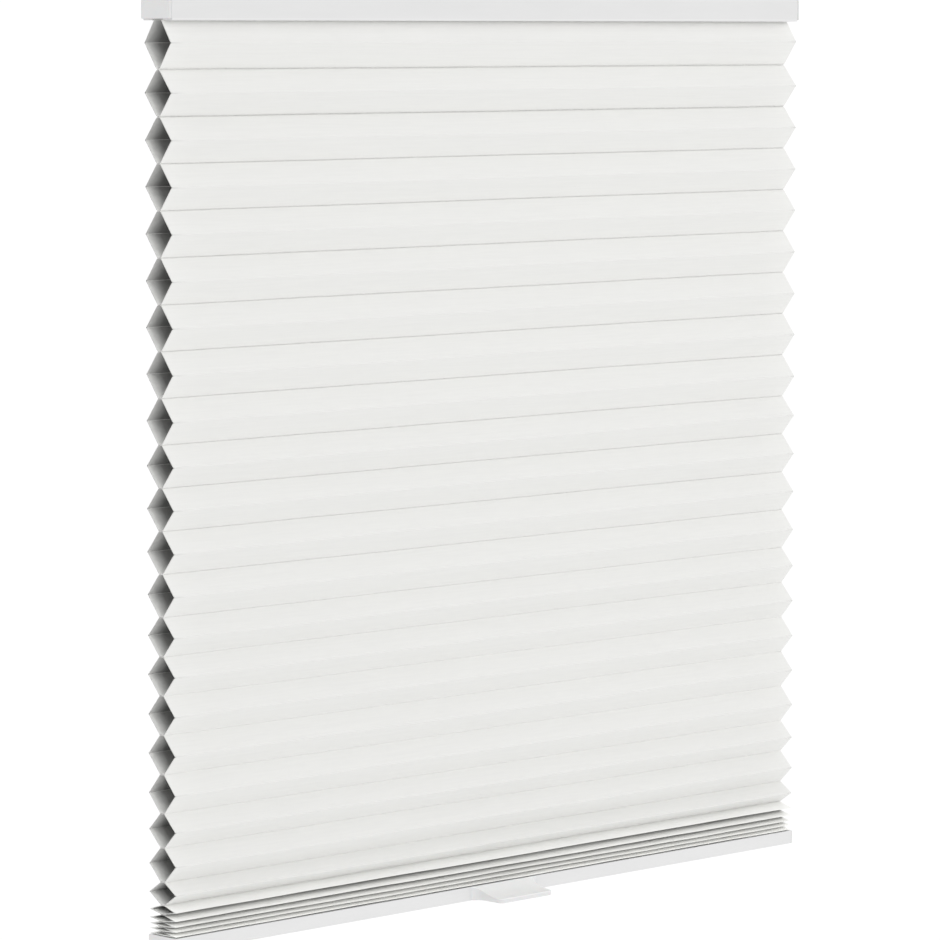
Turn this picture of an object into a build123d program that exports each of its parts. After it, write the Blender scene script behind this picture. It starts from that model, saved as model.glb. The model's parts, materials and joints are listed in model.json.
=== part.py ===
from build123d import *
import math
import os

# Cordless cellular blind, hung below a lintel and fully lowered.
# X runs along the width, -Y faces the room, +Z is up, all in millimetres.
# The origin is the centre of the bracket screw holes on the face that meets the lintel.

# ---- driving dimensions -------------------------------------------------------
FABRIC_W = 752.0  # width of the honeycomb fabric
CELL_D = 33.0  # depth of a cell from front fold to back fold
WALL = 0.6  # thickness of the fabric wall
BOND_HALF = 4.3  # half-width of the glued strip between two cells
PITCH = 38.1  # nominal cell pitch
FIRST_FOLD = 18.1  # first fold below the head rail's lower edge
# cell heights from the second cell down, as shares of the pitch
OPEN_ROWS = [0.994] * 8 + [0.92] * 4 + [0.845] * 5 + [0.741, 0.748, 0.489]
STACK_ROWS = [0.210, 0.162, 0.112, 0.097, 0.091]
FIRST_LOWER = 0.554  # lower half of the first cell
STACK_DROOP = 0.72  # how far down a stacked cell its fold lies

RAIL_D = 35.0  # head rail, front to back
RAIL_H = 24.0
RAIL_T = 1.2  # wall of both extrusions
RAIL_R = 7.0  # front top corner
SLOT_HALF = 7.0  # half-width of the slots in the rails
CAP_T = 3.0  # plate of a head rail end cap
CAP_SHORT = 1.7  # the cap ends this far above the rail's lower edge
PLUG_L = 6.0  # length of an end cap's plug
PLUG_T = 1.5

BOTTOM_D = 34.0  # bottom rail, front to back
BOTTOM_H = 12.0
BOTTOM_SHORT = 1.0  # the extrusion ends this far inside the fabric, at each end
BOTTOM_CAP_T = 2.0

STRIP_W = 26.0  # plastic strips that hold the fabric in the rails
STRIP_T = 1.2
BAR_CLEAR = 8.0  # flat steel bar that weighs the rail down, this far from each cord
BAR_W = 24.0
BAR_T = 2.5
WASHER_R = 5.0
WASHER_T = 1.5
KNOT_R = 1.3

HANDLE_OUT = 29.0  # how far the handle stands out from the bottom rail
HANDLE_W = 64.0
HANDLE_FLARE = 9.0
HANDLE_LIP = 4.0
PEG_R = 2.5
PEG_X = 24.0
PEG_L = 4.0

BRACKET_END = 66.0  # bracket centre from the end of the fabric
BRACKET_L = 36.0
BRACKET_D = 24.0
BRACKET_T = 1.2
SCREW_R = 2.25
SCREW_X = 11.0
LEG_W = 10.0
FOOT_L = 3.0

CORD_END = 126.0  # lift cord from the end of the fabric
CORD_R = 0.45
CORD_HOLE = 1.6

TEETH = 24
MODULE = 1.0
GEAR_T = 3.0
SPOOL_R = 8.0
HUB_R = 6.5
MOTOR_DROP = 2.3  # from the rail's top wall down to the motor's cover
FLANGE_T = 1.2
FLANGE_R = 11.0
POST_R = 2.5
PLATE_T = 1.2  # motor plates and guide bases
ROLLER_R = 3.5
ROLLER_W = 5.0
ROLLER_RIM = 0.9  # height of the roller's rims
PIN_R = 1.2

FIT = 0.1  # clearance of a fixed fit
RUN = 0.05  # clearance of a shaft in its bore
GAP = 0.4  # axial clearance of a turning piece
SOFT = 0.3  # clearance beside fabric and cord
BACKLASH = 0.16  # share of the tooth taken off for play

# ---- derived levels -----------------------------------------------------------
half_d = RAIL_D / 2
inner_d = half_d - RAIL_T
rail_top = -(BRACKET_T + FIT)
rail_low = rail_top - RAIL_H
lip_top = rail_low + RAIL_T
strip_low = lip_top + FIT
strip_top = strip_low + STRIP_T
web_low = strip_top + FIT
web_top = web_low + RAIL_T
base_low = web_top + FIT
base_top = base_low + PLATE_T
gear_low = base_top + GAP
gear_top = gear_low + GEAR_T
cover_top = rail_top - RAIL_T - MOTOR_DROP
cover_low = cover_top - PLATE_T
flange_top = cover_low - GAP
hub_top = flange_top - FLANGE_T
cord_z = (gear_top + hub_top) / 2

fabric_top = strip_low - SOFT
first_fold = rail_low - FIRST_FOLD
bonds = [fabric_top, first_fold - FIRST_LOWER * PITCH]
folds = [first_fold]
for share in OPEN_ROWS:
    folds.append(bonds[-1] - share * PITCH / 2)
    bonds.append(bonds[-1] - share * PITCH)
for share in STACK_ROWS:
    folds.append(bonds[-1] - share * PITCH * STACK_DROOP)
    bonds.append(bonds[-1] - share * PITCH)
fabric_low = bonds[-1]

rail_half = FABRIC_W / 2
low_rail_half = rail_half - BOTTOM_SHORT
cord_x = rail_half - CORD_END
bracket_x = rail_half - BRACKET_END
bar_half = cord_x - BAR_CLEAR

bottom_top = fabric_low - SOFT
bottom_low = bottom_top - BOTTOM_H
floor_top = bottom_low + RAIL_T
under_lip = bottom_top - RAIL_T

pitch_r = TEETH * MODULE / 2
gear_gap = 2 * pitch_r
spool_x = 1.5 * gear_gap
drum_x = 0.5 * gear_gap
tip_r = pitch_r + 0.9 * MODULE
motor_half = spool_x + tip_r + 1.5
wall_y = tip_r + 0.4

os.makedirs("parts", exist_ok=True)


def save(shape, name):
    export_step(shape, f"parts/{name}.step")
    print(name, len(shape.solids()))


def poly(points):
    return make_face(Polyline(*points, close=True))


def bar_x(face, low, high):
    """Extrude a section drawn as (y, z) from x = low to x = high."""
    return extrude(Plane.YZ.offset(low) * face, amount=high - low, dir=(1, 0, 0))


def box(low, high):
    size = [b - a for a, b in zip(low, high)]
    mid = [(a + b) / 2 for a, b in zip(low, high)]
    return Pos(*mid) * Box(*size)


def post(radius, x, y, low, high):
    return Pos(x, y, (low + high) / 2) * Cylinder(radius, high - low)


def rounded(half_y, low, high, front_r, back_r, foot_r):
    """Section of a rail: a rectangle with its top and bottom corners rounded."""
    face = Rectangle(2 * half_y, high - low)
    corners = face.vertices().sort_by(Axis.Y)
    bottom, top = corners[:2], corners[2:].sort_by(Axis.X)
    face = fillet(top[0], front_r)
    back = face.vertices().sort_by(Axis.X)[-2:].sort_by(Axis.Y)[-1]
    face = fillet(back, back_r)
    feet = [v for v in face.vertices() if v.Y < -(high - low) / 2 + 1e-6]
    face = fillet(feet, foot_r)
    return Pos(0, (low + high) / 2) * face


# ---- honeycomb fabric ---------------------------------------------------------
def inset(points, gap):
    """Corners of a convex outline, listed clockwise, moved in by the gap."""
    lines = []
    for a, b in zip(points, points[1:] + points[:1]):
        dx, dy = b[0] - a[0], b[1] - a[1]
        size = math.hypot(dx, dy)
        nx, ny = dy / size, -dx / size
        lines.append((nx, ny, nx * a[0] + ny * a[1] + gap))
    moved = []
    for one, two in zip(lines[-1:] + lines[:-1], lines):
        det = one[0] * two[1] - two[0] * one[1]
        x = (one[2] * two[1] - two[2] * one[1]) / det
        y = (one[0] * two[2] - two[0] * one[2]) / det
        moved.append((x, y))
    return moved


def cell(top, fold, low):
    right = [(BOND_HALF, top), (CELL_D / 2, fold), (BOND_HALF, low)]
    left = [(-BOND_HALF, low), (-CELL_D / 2, fold), (-BOND_HALF, top)]
    return right + left


right_side = [(BOND_HALF, bonds[0])]
for fold, bond in zip(folds, bonds[1:]):
    right_side += [(CELL_D / 2, fold), (BOND_HALF, bond)]
outline = right_side + [(-y, z) for y, z in reversed(right_side)]
hollows = []
for top, fold, low in zip(bonds, folds, bonds[1:]):
    hollow = inset(cell(top, fold, low), WALL)
    hollows.append(Wire(Polyline(*hollow, close=True).edges()))
section = Face(Wire(Polyline(*outline, close=True).edges()), hollows)
fabric = bar_x(section, -FABRIC_W / 2, FABRIC_W / 2)
for x in (-cord_x, cord_x):
    fabric -= post(CORD_HOLE, x, 0, fabric_low - 1, fabric_top + 1)
save(fabric, "fabric")

# ---- head rail ----------------------------------------------------------------
outer = rounded(half_d, rail_low, rail_top, RAIL_R, 2.0, 0.6)
inner = rounded(inner_d, lip_top, rail_top - RAIL_T, RAIL_R - RAIL_T, 0.8, 0.3)
slots = Pos(0, rail_top) * Rectangle(2 * SLOT_HALF, 4 * RAIL_T)
slots += Pos(0, rail_low) * Rectangle(2 * SLOT_HALF, 4 * RAIL_T)
shell = outer - inner - slots
# the web parts the fabric strip's channel from the mechanism above it
shell += Pos(0, web_low + RAIL_T / 2) * Rectangle(2 * inner_d + 0.4, RAIL_T)
head_rail = bar_x(shell, -rail_half, rail_half)
for x in (-cord_x, cord_x):
    head_rail -= post(CORD_HOLE + 1.0, x, 0, web_low - 0.5, web_top + 0.5)
save(head_rail, "head_rail")

cap_outline = rounded(half_d, rail_low + CAP_SHORT, rail_top, RAIL_R, 2.0, 1.2)
cap = bar_x(cap_outline, rail_half + FIT, rail_half + FIT + CAP_T)
cap = fillet(cap.faces().sort_by(Axis.X)[-1].edges(), 1.0)
plug_low = base_low
plug_high = rail_top - RAIL_R + 1.5
plug_y = inner_d - 2.0
plug = box((rail_half - PLUG_L, -plug_y, plug_low), (rail_half + FIT, plug_y, plug_high))
plug -= box(
    (rail_half - PLUG_L, PLUG_T - plug_y, plug_low + PLUG_T),
    (rail_half + FIT, plug_y - PLUG_T, plug_high - PLUG_T),
)
cap += plug
# finger notch at the joint with the rail
notch_x = rail_half + FIT
notch_z = (rail_low + rail_top) / 2 - 3.7
cap -= box(
    (notch_x, -half_d, notch_z - 1.6),
    (notch_x + 0.8, 0.7 - half_d, notch_z + 1.6),
)
save(cap, "head_cap_right")
save(mirror(cap, Plane.YZ), "head_cap_left")

# ---- brackets -----------------------------------------------------------------
leg_out = SLOT_HALF - 0.4
foot_top = rail_top - RAIL_T - 0.2
foot_low = foot_top - BRACKET_T
plate = box((-BRACKET_L / 2, -BRACKET_D / 2, -BRACKET_T), (BRACKET_L / 2, BRACKET_D / 2, 0))
plate = fillet(plate.edges().filter_by(Axis.Z), 2.5)
window = leg_out - BRACKET_T
plate -= box((-LEG_W / 2, -window, -BRACKET_T), (LEG_W / 2, window, 0))
for side in (-1, 1):
    plate -= post(SCREW_R, side * SCREW_X, 0, -BRACKET_T - 1, 1)
hook = [
    (window, -BRACKET_T / 2),
    (leg_out, -BRACKET_T / 2),
    (leg_out, foot_top),
    (leg_out + FOOT_L, foot_top),
    (leg_out + FOOT_L, foot_low),
    (window, foot_low),
]
for side in (-1, 1):
    plate += bar_x(poly([(side * y, z) for y, z in hook]), -LEG_W / 2, LEG_W / 2)
save(Pos(-bracket_x, 0, 0) * plate, "mounting_bracket_left")
save(Pos(bracket_x, 0, 0) * plate, "mounting_bracket_right")

# ---- strips that hold the fabric ----------------------------------------------
top_strip = box((-rail_half, -STRIP_W / 2, strip_low), (rail_half, STRIP_W / 2, strip_top))
bottom_plug = PLUG_L - 1.0
strip_half = low_rail_half - bottom_plug - 1.0
flange_high = under_lip - FIT
low_strip = box(
    (-strip_half, -STRIP_W / 2, flange_high - STRIP_T),
    (strip_half, STRIP_W / 2, flange_high),
)
rib_y = SLOT_HALF - 0.3
low_strip += box((-strip_half, -rib_y, flange_high), (strip_half, rib_y, bottom_top))
for x in (-cord_x, cord_x):
    top_strip -= post(CORD_HOLE, x, 0, strip_low - 1, strip_top + 1)
    low_strip -= post(CORD_HOLE, x, 0, flange_high - STRIP_T - 1, bottom_top + 1)
save(top_strip, "fabric_top_strip")
save(low_strip, "fabric_bottom_strip")

# ---- bottom rail --------------------------------------------------------------
low_half = BOTTOM_D / 2
shell = rounded(low_half, bottom_low, bottom_top, 0.8, 0.8, 1.5)
shell -= rounded(low_half - RAIL_T, floor_top, under_lip, 0.3, 0.3, 0.5)
shell -= Pos(0, bottom_top) * Rectangle(2 * SLOT_HALF, 3 * RAIL_T)
bottom_rail = bar_x(shell, -low_rail_half, low_rail_half)
peg_z = bottom_low + BOTTOM_H / 2
for x in (-PEG_X, PEG_X):
    hole = Rot(90, 0, 0) * Cylinder(PEG_R + FIT, 4 * RAIL_T)
    bottom_rail -= Pos(x, -low_half, peg_z) * hole
save(bottom_rail, "bottom_rail")

end_x = low_rail_half + FIT
low_cap = bar_x(
    rounded(low_half, bottom_low, bottom_top, 0.8, 0.8, 1.5),
    end_x,
    end_x + BOTTOM_CAP_T,
)
low_cap = fillet(low_cap.faces().sort_by(Axis.X)[-1].edges(), 0.7)
in_y = low_half - RAIL_T - 0.8
low_cap += box(
    (low_rail_half - bottom_plug, -in_y, floor_top + 0.4),
    (end_x, in_y, under_lip - 0.4),
)
save(low_cap, "bottom_cap_right")
save(mirror(low_cap, Plane.YZ), "bottom_cap_left")

bar_low = floor_top + FIT
bar = box((-bar_half, -BAR_W / 2, bar_low), (bar_half, BAR_W / 2, bar_low + BAR_T))
save(bar, "weight_bar")

# ---- handle -------------------------------------------------------------------
face_y = -low_half - FIT
lip_y = face_y - HANDLE_OUT
side_x = HANDLE_W / 2
root_x = side_x + HANDLE_FLARE
turn = HANDLE_FLARE * (1 - math.sqrt(0.5))
plan = [
    Line((-root_x, face_y), (root_x, face_y)),
    ThreePointArc(
        (root_x, face_y),
        (side_x + turn, face_y - turn),
        (side_x, face_y - HANDLE_FLARE),
    ),
    Line((side_x, face_y - HANDLE_FLARE), (side_x, lip_y)),
    Line((side_x, lip_y), (-side_x, lip_y)),
    Line((-side_x, lip_y), (-side_x, face_y - HANDLE_FLARE)),
    ThreePointArc(
        (-side_x, face_y - HANDLE_FLARE),
        (-side_x - turn, face_y - turn),
        (-root_x, face_y),
    ),
]
plan_face = make_face(plan)
corners = [v for v in plan_face.vertices() if v.Y < lip_y + 1e-6]
plan_face = fillet(corners, 5.0)
blank = extrude(Pos(0, 0, bottom_low) * plan_face, amount=BOTTOM_H, dir=(0, 0, 1))
lip_top_z = bottom_low + HANDLE_LIP
rise = BOTTOM_H - HANDLE_LIP
sweep_r = (HANDLE_OUT**2 + rise**2) / (2 * rise)
mid_a = math.asin(HANDLE_OUT / sweep_r) / 2
mid_y = lip_y + sweep_r * math.sin(mid_a)
mid_z = lip_top_z + sweep_r * (1 - math.cos(mid_a))
side_face = make_face(
    [
        Line((face_y, bottom_low), (lip_y, bottom_low)),
        Line((lip_y, bottom_low), (lip_y, lip_top_z)),
        ThreePointArc((lip_y, lip_top_z), (mid_y, mid_z), (face_y, bottom_top)),
        Line((face_y, bottom_top), (face_y, bottom_low)),
    ]
)
handle = blank & bar_x(side_face, -root_x - 1, root_x + 1)
lip_edges = [e for e in handle.edges() if e.center().Y < lip_y + 0.01]
handle = fillet(lip_edges, 1.0)
for x in (-PEG_X, PEG_X):
    peg = Rot(90, 0, 0) * Cylinder(PEG_R, PEG_L)
    handle += Pos(x, face_y + PEG_L / 2 - 0.5, peg_z) * peg
save(handle, "handle")


# ---- spring motor -------------------------------------------------------------
def gear(x, phase, low, high):
    """Spur gear with straight-sided teeth; phase 0 puts a tooth on the +X side."""
    root_r = pitch_r - 1.25 * MODULE
    slope = math.tan(math.radians(20)) / pitch_r
    at_pitch = math.pi / (2 * TEETH) * (1 - BACKLASH)
    at_root = at_pitch + slope * (pitch_r - root_r)
    at_tip = at_pitch - slope * (tip_r - pitch_r)
    points = []
    for i in range(TEETH):
        mid = 2 * math.pi * (i + phase) / TEETH
        flank = ((root_r, -at_root), (tip_r, -at_tip), (tip_r, at_tip), (root_r, at_root))
        for r, a in flank:
            points.append((r * math.cos(mid + a), r * math.sin(mid + a)))
    return extrude(Pos(x, 0, low) * poly(points), amount=high - low, dir=(0, 0, 1))


def bored(shape, x):
    return shape - post(POST_R + RUN, x, 0, base_top, cover_top)


motor_base = box((-motor_half, -inner_d + 0.2, base_low), (motor_half, inner_d - 0.2, base_top))
posts = (-spool_x, -drum_x, drum_x, spool_x)
for x in posts:
    motor_base += post(POST_R, x, 0, base_top - 0.5, cover_top - 0.3)
    motor_base += post(POST_R + 1.5, x, 0, base_top - 0.5, base_top + GAP - 0.05)
save(motor_base, "motor_base")

cover_y = wall_y + PLATE_T
cover = box((-motor_half, -cover_y, cover_low), (motor_half, cover_y, cover_top))
for side in (-1, 1):
    near, far = sorted((side * wall_y, side * cover_y))
    cover += box((-motor_half, near, base_top + FIT), (motor_half, far, cover_low + 0.5))
for x in posts:
    cover -= post(POST_R + RUN, x, 0, cover_low - 1, cover_top + 1)
save(cover, "motor_cover")

for name, x, phase in (("left", -spool_x, 0), ("right", spool_x, 0.5)):
    spool = gear(x, phase, gear_low, gear_top)
    spool += post(SPOOL_R, x, 0, gear_top - 0.5, hub_top)
    spool += post(FLANGE_R, x, 0, hub_top, flange_top)
    save(bored(spool, x), f"cord_spool_{name}")

drum = gear(-drum_x, 0.5, gear_low, gear_top)
drum += post(HUB_R, -drum_x, 0, gear_top - 0.5, flange_top)
save(bored(drum, -drum_x), "output_drum")
save(bored(gear(drum_x, 0, gear_low, gear_top), drum_x), "idler_gear")
store = post(HUB_R, drum_x, 0, gear_top + GAP, flange_top)
store += post(FLANGE_R, drum_x, 0, gear_top + GAP, gear_top + GAP + FLANGE_T)
save(bored(store, drum_x), "storage_drum")

# flat spring strip, wound on the output drum and led across to the storage drum
coil_low = gear_top + GAP + FLANGE_T + SOFT
coil_high = hub_top
coil_r = HUB_R + SOFT + 3.4
rest_r = HUB_R + SOFT + 0.6
spring = post(coil_r, -drum_x, 0, coil_low, coil_high)
spring -= post(HUB_R + SOFT, -drum_x, 0, coil_low - 1, coil_high + 1)
loop = post(rest_r, drum_x, 0, coil_low, coil_high)
loop -= post(HUB_R + SOFT, drum_x, 0, coil_low - 1, coil_high + 1)
lean = math.acos((coil_r + rest_r - 0.3) / gear_gap)
ux, uy = math.cos(lean), math.sin(lean)
ax, ay = -drum_x + coil_r * ux, coil_r * uy
bx, by = drum_x - rest_r * ux, -rest_r * uy
strap = poly(
    [
        (ax, ay),
        (bx + 0.3 * ux, by + 0.3 * uy),
        (bx, by),
        (ax - 0.3 * ux, ay - 0.3 * uy),
    ]
)
strap = extrude(Pos(0, 0, coil_low) * strap, amount=coil_high - coil_low, dir=(0, 0, 1))
spring += loop + strap
save(spring, "motor_spring")

# ---- lift cords and their guides ----------------------------------------------
# Built for the left side and mirrored: the cord leaves its spool at the front,
# runs over a roller and drops through every cell to a washer in the bottom rail.
wrap_r = SPOOL_R + FIT + CORD_R
reach = cord_x - spool_x
leave = math.pi + math.acos(wrap_r / reach)
off = (-spool_x + wrap_r * math.cos(leave), wrap_r * math.sin(leave))
run = math.hypot(-cord_x - off[0], off[1])
u = ((-cord_x - off[0]) / run, -off[1] / run)
bend_r = ROLLER_R + FIT + CORD_R
crest = (-cord_x - bend_r * u[0], -bend_r * u[1])
axle_z = cord_z - bend_r
quarter = bend_r * math.sqrt(0.5)
washer_top = flange_high - STRIP_T - FIT
knot_z = washer_top - WASHER_T - SOFT - KNOT_R
wrap = 1.35 * math.pi  # how far the cord's end reaches round its spool


def on_spool(angle):
    return (-spool_x + wrap_r * math.cos(angle), wrap_r * math.sin(angle), cord_z)


route = Wire(
    [
        ThreePointArc(
            on_spool(leave + wrap), on_spool(leave + wrap / 2), on_spool(leave)
        ).edge(),
        Line(on_spool(leave), (*crest, cord_z)).edge(),
        ThreePointArc(
            (*crest, cord_z),
            (
                crest[0] + quarter * u[0],
                crest[1] + quarter * u[1],
                axle_z + quarter,
            ),
            (-cord_x, 0, axle_z),
        ).edge(),
        Line((-cord_x, 0, axle_z), (-cord_x, 0, knot_z)).edge(),
    ]
)
ring = Plane(on_spool(leave + wrap), z_dir=route % 0) * Circle(CORD_R)
cord = sweep(ring, path=route)
cord += Pos(-cord_x, 0, knot_z) * Sphere(KNOT_R)
save(cord, "lift_cord_left")
save(mirror(cord, Plane.YZ), "lift_cord_right")

turn_z = math.degrees(math.atan2(-u[1], -u[0]))
place = Pos(-cord_x, 0, 0) * Rot(0, 0, turn_z)
across = Rot(90, 0, 0)
disc = Cylinder(ROLLER_R + ROLLER_RIM, ROLLER_W)
groove = Cylinder(ROLLER_R + 2.0, 1.4) - Cylinder(ROLLER_R, 1.4)
roller = disc - groove - Cylinder(PIN_R + RUN, ROLLER_W + 1)
roller = Pos(bend_r, 0, axle_z) * across * roller
cheek_in = ROLLER_W / 2 + GAP
cheek_out = cheek_in + 1.8
pin = Pos(bend_r, 0, axle_z) * across * Cylinder(PIN_R, 2 * cheek_out)
guide = box((-9, -inner_d + 1.2, base_low), (16, inner_d - 1.2, base_top))
guide -= box((-2, -cheek_in, base_low - 1), (bend_r + ROLLER_R + 2, cheek_in, base_top + 1))
for side in (-1, 1):
    near, far = sorted((side * cheek_in, side * cheek_out))
    guide += box((bend_r - 5, near, base_top - 0.4), (bend_r + 5, far, axle_z + 4))
guide -= Pos(bend_r, 0, axle_z) * across * Cylinder(PIN_R + RUN, 4 * cheek_out)
for piece, name in ((guide, "cord_guide"), (roller, "guide_roller"), (pin, "guide_pin")):
    set_left = place * piece
    save(set_left, f"{name}_left")
    save(mirror(set_left, Plane.YZ), f"{name}_right")

washer = post(WASHER_R, -cord_x, 0, washer_top - WASHER_T, washer_top)
washer -= post(CORD_R + 0.35, -cord_x, 0, washer_top - WASHER_T - 1, washer_top + 1)
save(washer, "cord_washer_left")
save(mirror(washer, Plane.YZ), "cord_washer_right")
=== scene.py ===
import json
import math

import bpy
import numpy as np
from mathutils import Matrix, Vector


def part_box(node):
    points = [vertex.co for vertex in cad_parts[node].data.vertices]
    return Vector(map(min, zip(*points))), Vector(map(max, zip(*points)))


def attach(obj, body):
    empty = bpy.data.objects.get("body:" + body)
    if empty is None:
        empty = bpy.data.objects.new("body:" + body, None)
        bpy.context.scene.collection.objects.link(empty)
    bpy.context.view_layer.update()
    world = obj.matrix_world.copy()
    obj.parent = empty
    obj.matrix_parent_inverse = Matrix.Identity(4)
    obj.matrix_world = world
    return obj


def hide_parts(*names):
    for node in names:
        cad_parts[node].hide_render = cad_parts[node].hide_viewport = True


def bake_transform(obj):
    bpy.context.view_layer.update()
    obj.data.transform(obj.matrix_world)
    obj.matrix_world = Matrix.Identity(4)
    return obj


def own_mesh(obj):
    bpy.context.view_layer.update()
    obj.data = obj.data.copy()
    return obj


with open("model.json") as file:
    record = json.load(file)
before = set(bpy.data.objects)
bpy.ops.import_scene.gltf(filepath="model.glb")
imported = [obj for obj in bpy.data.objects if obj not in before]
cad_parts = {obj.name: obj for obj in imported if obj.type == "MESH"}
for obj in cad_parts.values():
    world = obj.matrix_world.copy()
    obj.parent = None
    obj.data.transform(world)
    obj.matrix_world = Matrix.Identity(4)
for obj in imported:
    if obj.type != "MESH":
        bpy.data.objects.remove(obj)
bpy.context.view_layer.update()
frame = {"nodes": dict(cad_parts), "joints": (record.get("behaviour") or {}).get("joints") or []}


# ---- The studio ----------------------------------------------------------------
# A white room with light from every side and one large soft lamp at the front
# right, so the cloth reads by its folds and not by hard shadows. The floor has a
# coat of matt white paint.
MM = 0.001
FLOOR_Z = -1550.0
FLOOR_HALF = 30000.0
SKY_STRENGTH = 1.05
LAMP_WIDTH = 2.6
LAMP_POWER = 16.0
LAMP_PLACE = (1.6, -3.4, 1.5)
LAMP_TURN = (62.0, 0.0, 25.0)
CAMERA_PLACE = (-2.8754, -2.8983, -0.0339)
CAMERA_TURN = (90 - 5.2895, 0.0, -44.5275)
CAMERA_LENS = 181.54


def linear(code):
    """sRGB hex colour as linear RGBA: each channel through the sRGB curve."""
    value = np.array([int(code[i : i + 2], 16) for i in (1, 3, 5)]) / 255
    low, high = value / 12.92, ((value + 0.055) / 1.055) ** 2.4
    return (*np.where(value <= 0.04045, low, high).tolist(), 1.0)


def add(owner, kind, settings=None, inputs=None):
    """Add one node to the owner's tree, set its properties, and set or link its inputs."""
    tree = owner.node_tree
    made = tree.nodes.new("ShaderNode" + kind)
    for key, value in (settings or {}).items():
        setattr(made, key, value)
    for key, value in (inputs or {}).items():
        value = value.outputs[0] if isinstance(value, bpy.types.Node) else value
        if isinstance(value, bpy.types.NodeSocket):
            tree.links.new(value, made.inputs[key])
        else:
            made.inputs[key].default_value = value
    return made


def new_material(name, rough, patterns, **fixed):
    """A Principled material with its cloudy patterns, which are noise on Object coordinates.

    A pattern is (size, detail, grit): its spots are size mm across, or (x, y, z) mm; detail and grit say how
    many finer clouds lie in them and how strong those are. Returns the material, the coordinates and a list
    of the patterns."""
    made = bpy.data.materials.new(name)
    made.use_nodes = True
    made.node_tree.nodes.clear()
    sockets = {"Roughness": rough} | {key.replace("_", " "): value for key, value in fixed.items()}
    add(made, "OutputMaterial", inputs={"Surface": add(made, "BsdfPrincipled", inputs=sockets)})
    where = add(made, "TexCoord").outputs["Object"]
    clouds = []
    for size, detail, grit in patterns:
        rate = 1 / (np.broadcast_to(size, 3) * MM)
        place = add(made, "Mapping", inputs={"Vector": where, "Scale": rate.tolist()})
        look = {"Vector": place, "Scale": 1.0, "Detail": detail, "Roughness": grit}
        clouds.append(add(made, "TexNoise", inputs=look))
    return made, where, clouds


def finish(material, colour, tones, relief, depth, strength=0.3, wear=None, normal=None):
    """Colour times every tone, bumps depth mm high where the relief is high, and roughness by the wear.

    A tone is a node, or (pattern, low, high): the pattern's 0.3 to 0.7 spread over low to high and held at
    both ends; two more numbers stand for other limits than 0.3 and 0.7. The wear is the relief unless it is
    given. Its high spots are rubbed a little smoother than its hollows."""
    tree = material.node_tree
    shader = tree.nodes["Principled BSDF"]
    total = None
    for tone in tones:
        if isinstance(tone, tuple):
            pattern, low, high, start, end = (*tone, 0.3, 0.7)[:5]
            limits = {"From Min": start, "From Max": end, "To Min": low, "To Max": high}
            tone = add(material, "MapRange", inputs={"Value": pattern} | limits)
        product = {"operation": "MULTIPLY"}
        total = tone if total is None else add(material, "Math", product, {0: total, 1: tone})
    base = linear(colour)[:3] if isinstance(colour, str) else colour
    toned = add(material, "VectorMath", {"operation": "SCALE"}, {0: base, "Scale": total})
    tree.links.new(toned.outputs[0], shader.inputs["Base Color"])
    rough = shader.inputs["Roughness"].default_value
    limits = {"From Min": 0.3, "From Max": 0.7, "To Min": min(1.0, 1.12 * rough), "To Max": 0.9 * rough}
    rubbed = add(material, "MapRange", inputs={"Value": relief if wear is None else wear} | limits)
    tree.links.new(rubbed.outputs[0], shader.inputs["Roughness"])
    under = {} if normal is None else {"Normal": normal}
    raised = {"Height": relief, "Strength": strength, "Distance": depth * MM}
    bump = add(material, "Bump", inputs=raised | under)
    tree.links.new(bump.outputs[0], shader.inputs["Normal"])


def new_piece(name, points, faces, materials, smooth=True, **marks):
    """A mesh object from points in mm and its faces' corners, with one value for each point in each mark.

    Quads are smooth and flat ends are not."""
    mesh = bpy.data.meshes.new(name)
    mesh.from_pydata((np.reshape(points, (-1, 3)) * MM).tolist(), [], faces)
    sides = np.empty(len(mesh.polygons), np.int32)
    mesh.polygons.foreach_get("loop_total", sides)
    mesh.polygons.foreach_set("use_smooth", (sides == 4) & smooth)
    for mark, values in marks.items():
        layer = mesh.attributes.new(mark, "FLOAT", "POINT")
        layer.data.foreach_set("value", np.ravel(values).astype(np.float32))
    for material in materials:
        mesh.materials.append(material)
    made = bpy.data.objects.new(name, mesh)
    bpy.context.scene.collection.objects.link(made)
    mesh.update()
    return made


# matt wall paint, rolled on: a faint slow drift of tone and the fine stipple of the roller
floor_paint, where, (drift, stipple) = new_material(
    "matt_white_floor_paint", 1.0, [(300.0, 3.0, 0.55), (4.0, 3.0, 0.55)], Specular_IOR_Level=0.0
)
finish(floor_paint, "#FFFFFF", [(drift, 0.975, 0.985)], stipple, 0.05)
corners = [(x * FLOOR_HALF, y * FLOOR_HALF, FLOOR_Z) for x, y in ((-1, -1), (1, -1), (1, 1), (-1, 1))]
new_piece("floor", corners, [(0, 1, 2, 3)], [floor_paint], smooth=False)

scene = bpy.context.scene
world = bpy.data.worlds.new("white_room")
world.use_nodes = True
world.node_tree.nodes.clear()
sky = add(world, "Background", inputs={"Color": linear("#FFFFFF"), "Strength": SKY_STRENGTH})
add(world, "OutputWorld", inputs={"Surface": sky})
scene.world = world
scene.view_settings.view_transform = "Standard"

lamp = bpy.data.lights.new("soft_lamp", "AREA")
lamp.shape = "DISK"
lamp.size = LAMP_WIDTH
lamp.energy = LAMP_POWER
eye = bpy.data.cameras.new("camera")
eye.lens = CAMERA_LENS
eye.sensor_width = 36.0
eye.clip_end = 100.0
for data, place, turn in ((lamp, LAMP_PLACE, LAMP_TURN), (eye, CAMERA_PLACE, CAMERA_TURN)):
    stand = bpy.data.objects.new(data.name, data)
    stand.location = place
    stand.rotation_euler = [math.radians(angle) for angle in turn]
    scene.collection.objects.link(stand)
scene.camera = bpy.data.objects["camera"]


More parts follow.
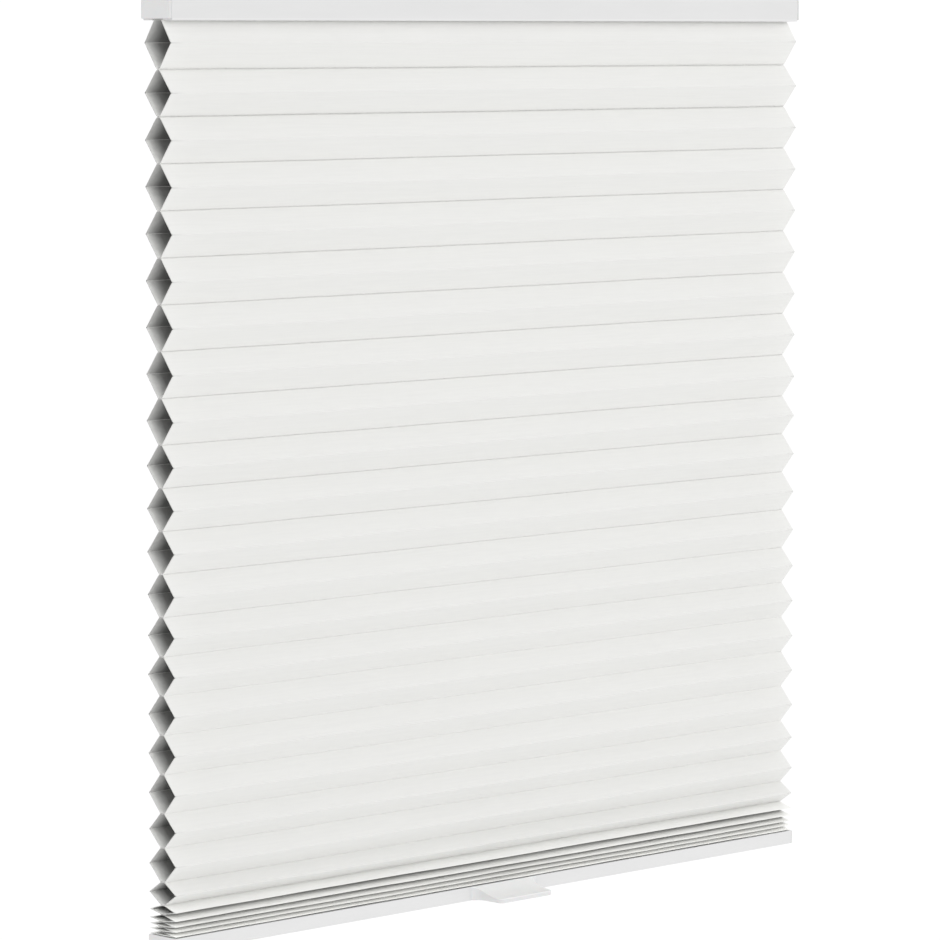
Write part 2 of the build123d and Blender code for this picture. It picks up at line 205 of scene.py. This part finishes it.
# ---- Mounting brackets and head rail -------------------------------------------
# Two clip brackets of zinc-plated spring steel hold an extruded aluminium rail
# with a white powder coat; moulded caps close its ends. The plates of the caps
# are made here, with a close seat on the rail, and stand for the whole caps.
HEAD_WHITE = "#D7D7D7"
LIP_RISE = 1.5
LIP_FADE = 0.9
CAP_LIFT = 1.25
CAP_CORNER = 1.2
CAP_SHOULDER = 7.0
CAP_EDGE = 1.1
CAP_GAP = 0.02
nodes = frame["nodes"]
rail_low, rail_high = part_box("head_rail")


def dress(material, *names):
    """Give CAD nodes their finish."""
    for name in names:
        mesh = nodes[name].data
        mesh.materials.clear()
        mesh.materials.append(material)


def powder_coat(name, code, lip=None):
    """White powder coat: orange-peel bumps from the melt, a faint drift of tone along the length."""
    patterns = [((60.0, 12.0, 12.0), 3.0, 0.55), (1.3, 2.0, 0.55)]
    coat, where, (drift, peel) = new_material(name, 0.4, patterns)
    tones = [(drift, 0.988, 1.012)]
    if lip is not None:
        # the rounded lower lip turns up and takes more light
        height = add(coat, "SeparateXYZ", inputs={0: where}).outputs["Z"]
        tones.append((height, 1.05, 1.0, lip, lip + LIP_FADE * MM))
    # the coat pools a quarter of a millimetre round every edge
    edge = add(coat, "Bevel", {"samples": 4}, {"Radius": 0.25 * MM})
    finish(coat, code, tones, peel, 0.04, 0.15, normal=edge)
    return coat


def tube_faces(rings, around, turn=1, closed=False, first=0):
    """Faces over rings of points: quads between neighbours, and a flat end on each end ring unless closed.

    turn is 1 or -1, whichever makes the faces point outward; first is the number of the first point."""
    index = first + np.arange(rings * around).reshape(rings, around)
    beside = np.roll(index, -1, axis=1)
    quads = np.stack([index, beside, np.roll(beside, -1, axis=0), np.roll(index, -1, axis=0)], axis=-1)
    quads = quads if closed else quads[:-1]
    ends = [] if closed else [index[0, ::-turn].tolist(), index[-1, ::turn].tolist()]
    return quads[..., ::turn].reshape(-1, 4).tolist() + ends


def cap_plate(name, side, corners, radii, near, far, edge):
    """Plate across the rail's end: the outline with its corners rounded to radii, from x = near out to far.

    Its rim is round: the outline draws in by edge (1 - cos a) while x goes on by edge sin a."""
    a = np.linspace(0, np.pi / 2, 7)
    x = np.concatenate([[near], far - edge + edge * np.sin(a)])
    inset = np.concatenate([[0.0], edge * (1 - np.cos(a))])
    corners = np.array(corners)
    toward = np.sign(corners.mean(axis=0) - corners)
    # each corner's arc keeps its centre and shrinks with the inset
    radius = np.maximum(radii, edge + 0.05)
    middle = corners + toward * radius[:, None]
    turn = np.arctan2(-toward[:, 1], -toward[:, 0])[:, None] + np.linspace(-np.pi / 4, np.pi / 4, 9)
    reach = (radius - inset[:, None])[..., None, None]
    outline = middle[:, None] + reach * np.stack([np.cos(turn), np.sin(turn)], axis=-1)
    outline = outline.reshape(len(x), -1, 2)
    points = np.dstack([np.broadcast_to(side * x[:, None], outline.shape[:2]), outline])
    return new_piece(name, points, tube_faces(*outline.shape[:2], turn=side), [abs_caps])


dress(powder_coat("white_powder_coat_head", HEAD_WHITE, rail_low.z + LIP_RISE * MM), "head_rail")

# moulded ABS: spark-eroded grain, drawn about four times its real size so that it
# shows, and slow flow marks from the gate
soft_glow = {"Subsurface_Weight": 0.05, "Subsurface_Scale": 0.002}
patterns = [(14.0, 3.0, 0.55), (0.35, 2.0, 0.55)]
abs_caps, where, (flow, grain) = new_material("white_abs_caps", 0.5, patterns, **soft_glow)
finish(abs_caps, HEAD_WHITE, [(flow, 0.988, 1.012)], grain, 0.02, 0.25)
dress(abs_caps, "head_cap_left", "head_cap_right", "bottom_cap_left", "bottom_cap_right")

# corners in (y, z): rear foot, rear top, front top, front foot
front, rear, foot, top = rail_low.y / MM, rail_high.y / MM, rail_low.z / MM + CAP_LIFT, rail_high.z / MM
end_outline = [(rear, foot), (rear, top), (front, top), (front, foot)]
end_radii = [CAP_CORNER, CAP_CORNER, CAP_SHOULDER, CAP_CORNER]
cap_near, cap_far = rail_high.x / MM + CAP_GAP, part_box("head_cap_right")[1].x / MM
for side, hand in ((1, "right"), (-1, "left")):
    plate = cap_plate(f"end_cap_{hand}", side, end_outline, end_radii, cap_near, cap_far, CAP_EDGE)
    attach(plate, "head")
    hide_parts(f"head_cap_{hand}")

# bright zinc plate: crystal patches, faint drawing lines from the strip mill
zinc, where, (lines, scratches) = new_material(
    "zinc_plated_steel", 0.34, [((12.0, 0.25, 0.25), 3.0, 0.55), ((10.0, 0.2, 0.2), 3.0, 0.55)], Metallic=1.0
)
crystals = add(zinc, "TexVoronoi", inputs={"Vector": where, "Scale": 1 / (1.6 * MM)}).outputs["Color"]
finish(zinc, "#C6C9CC", [(crystals, 0.9, 1.05), (lines, 0.95, 1.03)], scratches, 0.01, 0.2)
dress(zinc, "mounting_bracket_left", "mounting_bracket_right")

# extruded PVC carrier strips: die lines along their length, drawn 0.3 mm apart to show
pvc, where, (lines,) = new_material("extruded_white_pvc", 0.42, [((90.0, 0.3, 0.3), 2.0, 0.55)])
finish(pvc, "#DCDCDA", [(lines, 0.97, 1.02)], lines, 0.02, 0.4)
dress(pvc, "fabric_top_strip", "fabric_bottom_strip")


# ---- Spring motor and cord guides ----------------------------------------------
# A nylon tray and lid hold two cord spools geared to two drums, between which a
# flat steel spring winds to balance the weight below. Hidden inside the rail.
nylon, where, (specks, clouds) = new_material("grey_filled_nylon", 0.55, [(0.5, 4.0, 0.7), (9.0, 3.0, 0.55)])
finish(nylon, "#A9ACAE", [(specks, 0.9, 1.06), (clouds, 0.96, 1.03)], specks, 0.03, 0.4)
dress(nylon, "motor_base", "motor_cover", "cord_guide_left", "cord_guide_right")

# turned acetal: creamy, waxy, with faint rings left by the tool, 0.2 mm a turn
acetal, where, (rings,) = new_material(
    "cream_acetal", 0.32, [((3.0, 3.0, 0.2), 3.0, 0.55)], Subsurface_Weight=0.15, Subsurface_Scale=0.002
)
finish(acetal, "#E9E5D8", [(rings, 0.96, 1.02)], rings, 0.02, 0.3)
dress(acetal, "output_drum", "storage_drum", "idler_gear")
for hand in ("left", "right"):
    dress(acetal, f"cord_spool_{hand}", f"guide_roller_{hand}", f"cord_washer_{hand}")

# blued spring strip: straw to blue heat colours and polishing lines round the coil
spring, where, (heat, lines) = new_material(
    "blued_spring_steel", 0.26, [((18.0, 18.0, 2.0), 1.0, 0.55), ((6.0, 6.0, 0.12), 2.0, 0.55)], Metallic=1.0
)
hues = {0: heat, 6: linear("#8C8F98"), 7: linear("#B9B2A4")}
blueing = add(spring, "Mix", {"data_type": "RGBA"}, hues).outputs[2]
finish(spring, blueing, [(lines, 0.85, 1.1)], lines, 0.01, 0.3)
dress(spring, "motor_spring")

# ground steel pins: bright, with the wheel's marks drawn 0.15 mm wide, coarser than real
pin, where, (marks,) = new_material("ground_steel_pin", 0.2, [(0.15, 2.0, 0.55)], Metallic=1.0)
finish(pin, "#B8BABD", [(marks, 0.92, 1.05)], marks, 0.005, 0.2)
dress(pin, "guide_pin_left", "guide_pin_right")


# ---- Lift cords ----------------------------------------------------------------
# Braided polyester, 0.9 mm thick: wound round a spool, over a roller and down
# through every cell to a knot under a washer in the bottom rail.
CORD_R = 0.45
KNOT_R = 1.3
KNOT_CORD_R = 0.42
SPOOL_X = 36.0
WRAP_R = 8.55
WRAP_ANGLE = 1.35 * math.pi
BEND_R = 4.05
BRAID_RATE = 2.24
cord_low, cord_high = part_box("lift_cord_left")
CORD_X = round(-cord_low.x / MM - KNOT_R, 1)
CORD_Z = round(cord_high.z / MM - CORD_R, 1)
DROP_TOP = CORD_Z - BEND_R
KNOT_Z = cord_low.z / MM + KNOT_R
TRAVEL = next(joint for joint in frame["joints"] if joint["name"] == "rail_lift")["range_m"][1] / MM

# eight strands cross in the braid; each strand is drawn 1.4 mm long, about twice its size
cord_yarn, where, (fibre,) = new_material(
    "braided_polyester_cord", 0.75, [((0.12, 0.12, 0.6), 3.0, 0.7)], Sheen_Weight=0.3
)
# the grooves between the strands, where the tube is thinner, are painted darker: painted shade
painted_braid_shade = add(cord_yarn, "Attribute", {"attribute_name": "braid"}).outputs["Fac"]
finish(cord_yarn, "#E8E7E2", [(painted_braid_shade, 0.8, 1.0, 0.0, 1.0), (fibre, 0.94, 1.03)], fibre, 0.03, 0.4)


def unit(vectors):
    """Vectors over their own lengths."""
    return vectors / np.linalg.norm(vectors, axis=-1, keepdims=True)


def cord_tube(name, path, radius, closed=False):
    """Braided tube round a path: radius (0.93 + 0.07 |sin(4a + ks) sin(4a - ks)|) at angle a and length s.

    The angle starts from a fixed side: up on level stretches, forward on upright ones."""
    ahead = np.roll(path, -1, axis=0) - path
    behind = path - np.roll(path, 1, axis=0)
    if not closed:
        ahead[-1], behind[0] = behind[-1], ahead[0]
    tangent = unit(unit(ahead) + unit(behind))
    upright = np.abs(tangent[:, 2:])
    guide = np.array([0.0, 0.0, 1.0]) * (1 - upright) + np.array([0.3, 1.0, 0.0]) * upright
    across = unit(np.cross(tangent, guide))
    up = np.cross(across, tangent)
    angle = np.linspace(0, 2 * np.pi, 16, endpoint=False)[None, :]
    steps = np.linalg.norm(np.diff(path, axis=0), axis=1)
    along = np.concatenate([[0], np.cumsum(steps)])[:, None]
    weave = np.abs(np.sin(4 * angle + BRAID_RATE * along) * np.sin(4 * angle - BRAID_RATE * along))
    reach = (radius * (0.93 + 0.07 * weave))[..., None]
    spoke = np.cos(angle)[..., None] * across[:, None] + np.sin(angle)[..., None] * up[:, None]
    faces = tube_faces(*weave.shape, turn=-1, closed=closed)
    return new_piece(name, path[:, None] + reach * spoke, faces, [cord_yarn], braid=weave)


def cord_route():
    """Left cord in the rail: an arc round the spool, the straight tangent, a quarter arc over the roller."""
    leave = math.pi + math.acos(WRAP_R / (CORD_X - SPOOL_X))
    a = np.linspace(leave + WRAP_ANGLE, leave, 90)
    wound = np.stack([WRAP_R * np.cos(a) - SPOOL_X, WRAP_R * np.sin(a), np.full_like(a, CORD_Z)], axis=1)
    off = wound[-1]
    over = np.array([-CORD_X, 0.0, CORD_Z])
    ahead = unit(over - off)
    crest = over - BEND_R * ahead
    t = np.linspace(0, 1, 420)[1:, None]
    a = np.linspace(0, np.pi / 2, 26)[1:, None]
    bend = crest + BEND_R * (np.sin(a) * ahead - (1 - np.cos(a)) * np.array([0.0, 0.0, 1.0]))
    return np.concatenate([wound, off + (crest - off) * t, bend])


inside = cord_route()
drop_z = np.linspace(DROP_TOP, KNOT_Z, 1300)
drop = np.stack([np.full_like(drop_z, -CORD_X), np.zeros_like(drop_z), drop_z], axis=1)
# an overhand knot pulled tight: the trefoil (sin t + 2 sin 2t, cos t - 2 cos 2t, -1.3 sin 3t)
t = np.linspace(0, 2 * np.pi, 72, endpoint=False)
trefoil = [np.sin(t) + 2 * np.sin(2 * t), np.cos(t) - 2 * np.cos(2 * t), -1.3 * np.sin(3 * t)]
knot = np.stack(trefoil, axis=1) * (KNOT_R - KNOT_CORD_R) / 3 + (-CORD_X, 0, KNOT_Z)
for side, hand in ((1, "left"), (-1, "right")):
    # the right cord is the left one mirrored and run the other way
    mirror, order = np.array([side, 1, 1]), slice(None, None, side)
    wound = cord_tube(f"cord_in_rail_{hand}", (inside * mirror)[order], CORD_R)
    hung = cord_tube(f"cord_drop_{hand}", (drop * mirror)[order], CORD_R)
    tied = cord_tube(f"cord_knot_{hand}", (knot * mirror)[order], KNOT_CORD_R, closed=True)
    for piece, body in ((wound, "head"), (hung, "head"), (tied, "lower_rail")):
        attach(piece, body)
        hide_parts(f"lift_cord_{hand}")
    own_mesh(hung)


# ---- Honeycomb fabric ----------------------------------------------------------
# Pleated spun polyester, each cell a tube glued to the next along a narrow
# strip; a lining film blocks the light, painted with shade deep inside the cells.
# Open cells hang from the head rail, spare ones lie stacked on the bottom rail, and on the real blind all
# close up as the rail rises.
PITCH = 38.1
CLOTH = 0.6
GLUE = 0.012
STATIONS = 44
# cell heights in pitches: the open ones as they hang, the stacked ones as they are pressed
FIRST_UPPER = 19.1
FIRST_LOWER = 0.554 * PITCH
OPEN_ROWS = np.array([0.994] * 8 + [0.92] * 4 + [0.845] * 5 + [0.741, 0.748, 0.489])
STACK_ROWS = np.array([0.210, 0.162, 0.112, 0.097, 0.091])
# how far down its cell a stacked fold droops
DROOP = np.array([0.60, 0.60, 0.62, 0.66, 0.74])
# half widths of the glued bands, the one under the head rail and all others
TOP_BAND_HALF, BAND_HALF = 4.3, 2.6
# how the folds, joints and slopes stray along the width: wave length and reach
FOLD_LIFT, FOLD_PUSH = (420.0, 0.16), (300.0, 0.12)
JOINT_LIFT, SLOPE_BOW, SQUEEZED_JOINT = (380.0, 0.08), (190.0, 0.08), (90.0, 0.1)
HUNG_SEED, STACK_SEED, JOINT_SEED = 11, 23, 77
# painted light on the cloth, against the shade next to the head rail and at the lower and upper joint of each
# other cell
FIRST_PAINTED_LIGHT, LOWER_PAINTED_LIGHT, UPPER_PAINTED_LIGHT = 1.32, 1.06, 1.035
# how deep from the cut ends light shows through the cloth and reaches the film
GLOW_DEPTH, FILM_DEPTH, FILM_EDGE = 46.0, 15.0, 1.0
# half thickness of a pleat's crease, how far in its middle lies, its share of the closed cell
CREASE_HALF, CREASE_IN, CREASE_SHARE = 0.45, 0.5, 0.8
fabric_low, fabric_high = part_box("fabric")
FABRIC_TOP = fabric_high.z / MM
HALF_WIDTH = fabric_high.x / MM
FOLD_Y = fabric_high.y / MM

heights = np.concatenate([[FIRST_UPPER + FIRST_LOWER], OPEN_ROWS * PITCH, STACK_ROWS * PITCH])
hung_cells = len(heights) - len(STACK_ROWS)
joint = np.arange(len(heights) + 1)
bonds = FABRIC_TOP - np.concatenate([[0], np.cumsum(heights)])
bonds += (fabric_low.z / MM - bonds[-1]) * joint / joint[-1]
share = np.full(len(heights), 0.5)
share[0] = FIRST_UPPER / heights[0]
share[hung_cells:] = DROOP
folds = bonds[:-1] - heights * share
bond_half = np.full(len(joint), BAND_HALF)
bond_half[0] = TOP_BAND_HALF
# how far the lips of each joint gape: the weight below pulls the upper ones a little
# open, and further down they lie shut
gape = np.interp(
    joint,
    [0, 1, 2, 3, 9, 12, 13, 14, 15, 20, 21, 22, 26],
    [0, 2.0, 1.7, 1.1, 0.85, 0.6, 0.3, 0.12, 0, 0, 0.2, 0.5, 0.3],
)
# how deep the groove between the lips runs in over the glued band
groove = np.interp(
    joint,
    [0, 1, 2, 3, 9, 12, 13, 14, 15, 20, 21, 26],
    [0.2, 2.3, 2.0, 1.3, 0.9, 0.6, 0.3, 0.15, 0.08, 0.08, 0.12, 1.5],
)
OPEN_LENGTH = FABRIC_TOP - bonds[hung_cells]
CLOSED_SHARE = 1 - TRAVEL / OPEN_LENGTH

# spun polyester cloth: matte white with long faint slubs that run across the
# width; single fibres are too fine to show, so they are drawn as half-millimetre
# bundles; painted light whitens the cloth near each joint, and painted shade greys the stack's grooves
cloth, where, (slub, fibre) = new_material(
    "pleated_polyester_cloth",
    0.9,
    [((45.0, 4.0, 1.6), 4.0, 0.6), ((4.0, 0.8, 0.5), 3.0, 0.7)],
    Specular_IOR_Level=0.2,
    Sheen_Weight=0.06,
)
sideways = add(cloth, "SeparateXYZ", inputs={0: where}).outputs["X"]
reach = add(cloth, "Math", {"operation": "ABSOLUTE"}, {0: sideways})
# light from the open cells shows through near the cut ends
glow_start, glow_end = (HALF_WIDTH - GLOW_DEPTH) * MM, HALF_WIDTH * MM
limits = {"From Min": glow_start, "From Max": glow_end, "To Min": 1.0, "To Max": 1.015}
glow = add(cloth, "MapRange", {"interpolation_type": "SMOOTHSTEP"}, {"Value": reach} | limits)
painted_light_and_shade = add(cloth, "Attribute", {"attribute_name": "tone"}).outputs["Fac"]
weave = add(cloth, "Math", {"operation": "ADD"}, {0: slub, 1: fibre})
finish(cloth, "#E3E3E1", [(slub, 0.985, 1.012), glow, painted_light_and_shade], weave, 0.15, 0.2, wear=slub)

# lining film: near white at the cut ends, with painted shade that greys it deep inside the cells;
# the lower walls face up and carry a painted highlight, and the upper ones carry painted shade
film, where, (crumple,) = new_material("lining_film_with_painted_shade", 0.6, [(6.0, 5.0, 0.6)])
sideways = add(film, "SeparateXYZ", inputs={0: where}).outputs["X"]
reach = add(film, "Math", {"operation": "ABSOLUTE"}, {0: sideways})
normal = add(film, "NewGeometry").outputs["Normal"]
painted_light_from_above = add(film, "SeparateXYZ", inputs={0: normal}).outputs["Z"]
tones = [
    (reach, 0.36, 1.0, (HALF_WIDTH - FILM_DEPTH) * MM, (HALF_WIDTH - FILM_EDGE) * MM),
    (painted_light_from_above, 0.82, 1.3, -0.4, 0.4),
    (crumple, 0.92, 1.06),
]
finish(film, "#E8E8E6", tones, crumple, 0.25, 0.3)


def soften(loops, cut, steps=3):
    """Round each corner of closed loops: a quadratic curve from a point cut before it to one after it."""
    before = np.roll(loops, 1, axis=1) - loops
    after = np.roll(loops, -1, axis=1) - loops
    most_before = 0.45 * np.linalg.norm(before, axis=2, keepdims=True)
    most_after = 0.45 * np.linalg.norm(after, axis=2, keepdims=True)
    start = (loops + unit(before) * np.minimum(cut[..., None], most_before))[:, :, None]
    end = (loops + unit(after) * np.minimum(cut[..., None], most_after))[:, :, None]
    t = np.linspace(0, 1, steps)[None, None, :, None]
    curve = (1 - t) ** 2 * start + 2 * t * (1 - t) * loops[:, :, None] + t**2 * end
    return curve.reshape(len(loops), -1, 2)


def inward(loops, gap):
    """Move each corner in by gap from both its sides: the sum of the two normals over one plus their dot."""
    edge = np.roll(loops, -1, axis=1) - loops
    normal = unit(np.stack([edge[..., 1], -edge[..., 0]], axis=2))
    past = np.roll(normal, 1, axis=1)
    dot = (normal * past).sum(axis=2, keepdims=True)
    return loops + gap * (normal + past) / (1 + dot)


def ripple(count, seed, wave, size, stations):
    """Slow random wander along the width for count lines: three sines with random phase, wave in mm."""
    draw = np.random.default_rng(seed)
    phase = draw.uniform(0, 2 * np.pi, (3, count, 1))
    scale = np.array([1.0, 0.55, 0.35])[:, None, None]
    rate = np.array([1.0, 2.3, 4.9])[:, None, None] * draw.uniform(0.8, 1.25, (3, count, 1))
    return size * (scale * np.sin(2 * np.pi * rate * stations / wave + phase)).sum(axis=0)


def fold_wander(cells, seed, stations):
    """How far each fold strays up and outward along the width."""
    return ripple(cells, seed, *FOLD_LIFT, stations), ripple(cells, seed + 1, *FOLD_PUSH, stations)


def cell_loops(first, last):
    """Section corners (y, z) and their cuts, cell by cell: down the window side, then up the room side.

    Each side goes from the glued band out past the gaping joint to the fold and back in."""
    top, low, fold = bonds[first:last], bonds[first + 1 : last + 1], folds[first:last]
    open_top, open_low = gape[first:last] / 2, gape[first + 1 : last + 1] / 2
    band_top, band_low = bond_half[first:last], bond_half[first + 1 : last + 1]
    out = np.full_like(top, FOLD_Y)
    window_side = [
        (band_top - groove[first:last], top - GLUE),
        (band_top, top - GLUE - open_top),
        ((band_top + out) / 2, (top - open_top + fold) / 2),
        (out, fold),
        ((band_low + out) / 2, (low + open_low + fold) / 2),
        (band_low, low + GLUE + open_low),
        (band_low - groove[first + 1 : last + 1], low + GLUE),
    ]
    room_side = [(-y, z) for y, z in reversed(window_side)]
    thin, sharp, flat = np.full_like(top, 0.05), np.full_like(top, 0.4), np.full_like(top, 0.01)
    cuts = [thin, 0.06 + 2 * open_top, flat, sharp, flat, 0.06 + 2 * open_low, thin]
    return np.array(window_side + room_side).transpose(2, 0, 1), np.array(cuts + cuts[::-1]).T


def comb(name, first, last, count, seed, shade):
    """Closed cells with a wall: outer and lining sections carried along the width and joined at both ends.

    Folds and joints stray along the width by their own ripples, shared out by height, and the slopes between
    them bow out as sin(pi t)."""
    stations = np.linspace(-HALF_WIDTH, HALF_WIDTH, count)[None, :]
    base, cut = cell_loops(first, last)
    cells = len(base)
    fold_z, fold_y = fold_wander(cells, seed, stations)
    bond_z = ripple(cells + 1, seed + 2, *JOINT_LIFT, stations)
    upper_bow, lower_bow = np.split(ripple(cells * 2, seed + 3, *SLOPE_BOW, stations), 2)
    # the joint above the stack is squeezed and wavers; both pieces share its line,
    # kept below the joint's own height so that they do not cross as the blind closes
    coarse = np.linspace(-HALF_WIDTH, HALF_WIDTH, STATIONS)
    waver = ripple(1, JOINT_SEED, *SQUEEZED_JOINT, coarse[None, :])[0]
    bond_z[0 if last == len(heights) else -1] = np.interp(stations[0], coarse, waver - waver.max())
    top, low, fold = bonds[first:last, None], bonds[first + 1 : last + 1, None], folds[first:last, None]
    shells, tones = [], []
    for loop in (soften(base, cut), soften(inward(base, CLOTH), 0.6 * cut)):
        y, z = loop[..., 0], loop[..., 1]
        above = np.clip((z - fold) / (top - fold), 0, 1)
        below = np.clip((fold - z) / (fold - low), 0, 1)
        near = 1 - above - below
        lift = near[..., None] * fold_z[:, None, :]
        lift += above[..., None] * bond_z[:-1, None, :] + below[..., None] * bond_z[1:, None, :]
        belly = (np.sin(np.pi * above) + np.sin(np.pi * below))[..., None]
        bow = np.where((z > fold)[..., None], upper_bow[:, None, :], lower_bow[:, None, :])
        push = np.sign(y)[..., None] * (near[..., None] * fold_y[:, None, :] + belly * bow)
        x = np.broadcast_to(stations, lift.shape)
        shells.append(np.stack([x, y[..., None] + push, z[..., None] + lift], axis=-1))
        tones.append(np.broadcast_to(shade(above, below)[..., None], lift.shape))
    shell = np.stack(shells, axis=1)
    index = np.arange(shell[..., 0].size).reshape(shell.shape[:-1])
    turned = np.roll(index, -1, axis=2)
    wall = np.stack([index[..., :-1], turned[..., :-1], turned[..., 1:], index[..., 1:]], axis=-1)
    outer, lining = wall[:, 0].reshape(-1, 4), wall[:, 1, ..., ::-1].reshape(-1, 4)
    rim = np.stack([index[:, 0], index[:, 1], turned[:, 1], turned[:, 0]], axis=-1)
    rims = np.concatenate([rim[..., 0, :], rim[..., -1, ::-1]]).reshape(-1, 4)
    faces = np.concatenate([outer, rims, lining])
    made = new_piece(name, shell, faces.tolist(), [cloth, film], tone=np.stack(tones, axis=1))
    slots = np.repeat([0, 1], [len(faces) - len(lining), len(lining)])
    made.data.polygons.foreach_set("material_index", slots)
    weigh = made.modifiers.new("even_normals", "WEIGHTED_NORMAL")
    weigh.weight = 90
    return made


def hung_shade(above, below):
    """Cloth tone in the open cells: painted light, whiter near each joint and most of all under the head
    rail, where shade falls.
    """
    tone = 1 + (UPPER_PAINTED_LIGHT - 1) * above**3 + (LOWER_PAINTED_LIGHT - 1) * below**2
    tone[0] = 1 + (FIRST_PAINTED_LIGHT - 1) * above[0] ** 1.8 + (LOWER_PAINTED_LIGHT - 1) * below[0] ** 2
    return tone


def stack_shade(above, below):
    """Cloth tone in the stack: painted light whitens each cell, and painted shade greys it towards its
    joints, most of all in every groove but the top one.
    """
    # painted light for each cell, then painted shade towards its upper joint, in its groove and towards its
    # lower joint
    painted_cell_light = np.array([1.17, 1.25, 1.27, 1.3, 1.34])[:, None]
    slope = np.array([0.02, 0.2, 0.2, 0.2, 0.2])[:, None]
    painted_groove_shade = np.array([0, 0.5, 0.74, 0.82, 0.86])[:, None]
    under = np.array([0.32, 0.52, 0.62, 0.7, 0.6])[:, None]
    in_groove = np.clip((above - 0.55) / 0.45, 0, 1)
    return painted_cell_light * (1 - slope * above**2) * (1 - painted_groove_shade * in_groove**2) * (1 - under * below**2)


def pleat_crease(cell, around=10):
    """Heat-set crease along both folds of an open cell: an oval (half cos a, height / 2 sin a) along each."""
    stations = np.linspace(-HALF_WIDTH, HALF_WIDTH, STATIONS)[None, :]
    stray_z, stray_y = (stray[cell][:, None] for stray in fold_wander(hung_cells, HUNG_SEED, stations))
    height = CREASE_SHARE * heights[cell] * CLOSED_SHARE
    a = np.linspace(0, 2 * np.pi, around, endpoint=False)
    x = np.repeat(stations.T, around, axis=1)
    y = FOLD_Y - CREASE_IN + stray_y + CREASE_HALF * np.cos(a)
    z = folds[cell] + stray_z + height / 2 * np.sin(a)
    points = np.stack([np.stack([x, side * y, z], axis=-1) for side in (-1, 1)])
    faces = tube_faces(*x.shape, turn=-1) + tube_faces(*x.shape, turn=1, first=x.size)
    return new_piece(f"pleat_crease_{cell:02d}", points, faces, [cloth], tone=np.ones(2 * x.size))


# the stack's stations include those of the hung cells, so both bend the shared joint alike
hanging = comb("honeycomb_hanging", 0, hung_cells, STATIONS, HUNG_SEED, hung_shade)
stacked = comb("honeycomb_stack", hung_cells, len(heights), 3 * STATIONS - 2, STACK_SEED, stack_shade)

# each crease keeps its own height, its share of the closed cell, so the closed blind
# shows pleat edges; w is how far down the open length its fold lies, and t is
# where w = t t (3 - 2 t)
creases = [pleat_crease(cell) for cell in range(hung_cells)]
for edge, fold in zip(creases, folds):
    weight = (FABRIC_TOP - fold) / OPEN_LENGTH
    t = 0.5 - math.sin(math.asin(1 - 2 * weight) / 3)
    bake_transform(edge)

# each cell is one strip wrapped round: four slopes and the two glued bands
strip = 4 * np.hypot(FOLD_Y - bond_half[1:], heights / 2) + 4 * bond_half[1:]
for piece, body, held, strips, on_it in (
    (hanging, "head", "hung", strip[:hung_cells], creases),
    (stacked, "lower_rail", "folded", strip[hung_cells:], []),
):
    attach(piece, body)
    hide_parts("fabric")
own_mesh(hanging)


# ---- Bottom rail and handle ----------------------------------------------------
# A second powder-coated extrusion with a steel bar inside for weight, caps on
# its ends, and a moulded handle pegged to the middle of its front.
dress(powder_coat("white_powder_coat_bottom", "#DBDBDB"), "bottom_rail")

# moulded ABS: the hollow of the grip faces up and carries a painted highlight, and the sides carry painted
# shade
patterns = [(18.0, 3.0, 0.55), (0.4, 2.0, 0.55)]
abs_handle, where, (flow, grain) = new_material("white_abs_handle", 0.5, patterns, **soft_glow)
normal = add(abs_handle, "NewGeometry").outputs["Normal"]
painted_light_from_above = add(abs_handle, "SeparateXYZ", inputs={0: normal}).outputs["Z"]
finish(abs_handle, "#E2E2E2", [(flow, 0.985, 1.01), (painted_light_from_above, 0.93, 1.06, 0.1, 0.6)], grain, 0.02, 0.25)
dress(abs_handle, "handle")

# cold-rolled bar: grey mill scale with rolling streaks and a few rust-brown specks
bar, where, (streaks, rust) = new_material(
    "cold_rolled_steel_bar", 0.45, [((40.0, 0.6, 0.6), 3.0, 0.55), (2.2, 4.0, 0.7)], Metallic=0.9
)
finish(bar, "#8E9092", [(streaks, 0.85, 1.1), (rust, 0.7, 1.0, 0.28, 0.36)], streaks, 0.02, 0.4)
dress(bar, "weight_bar")
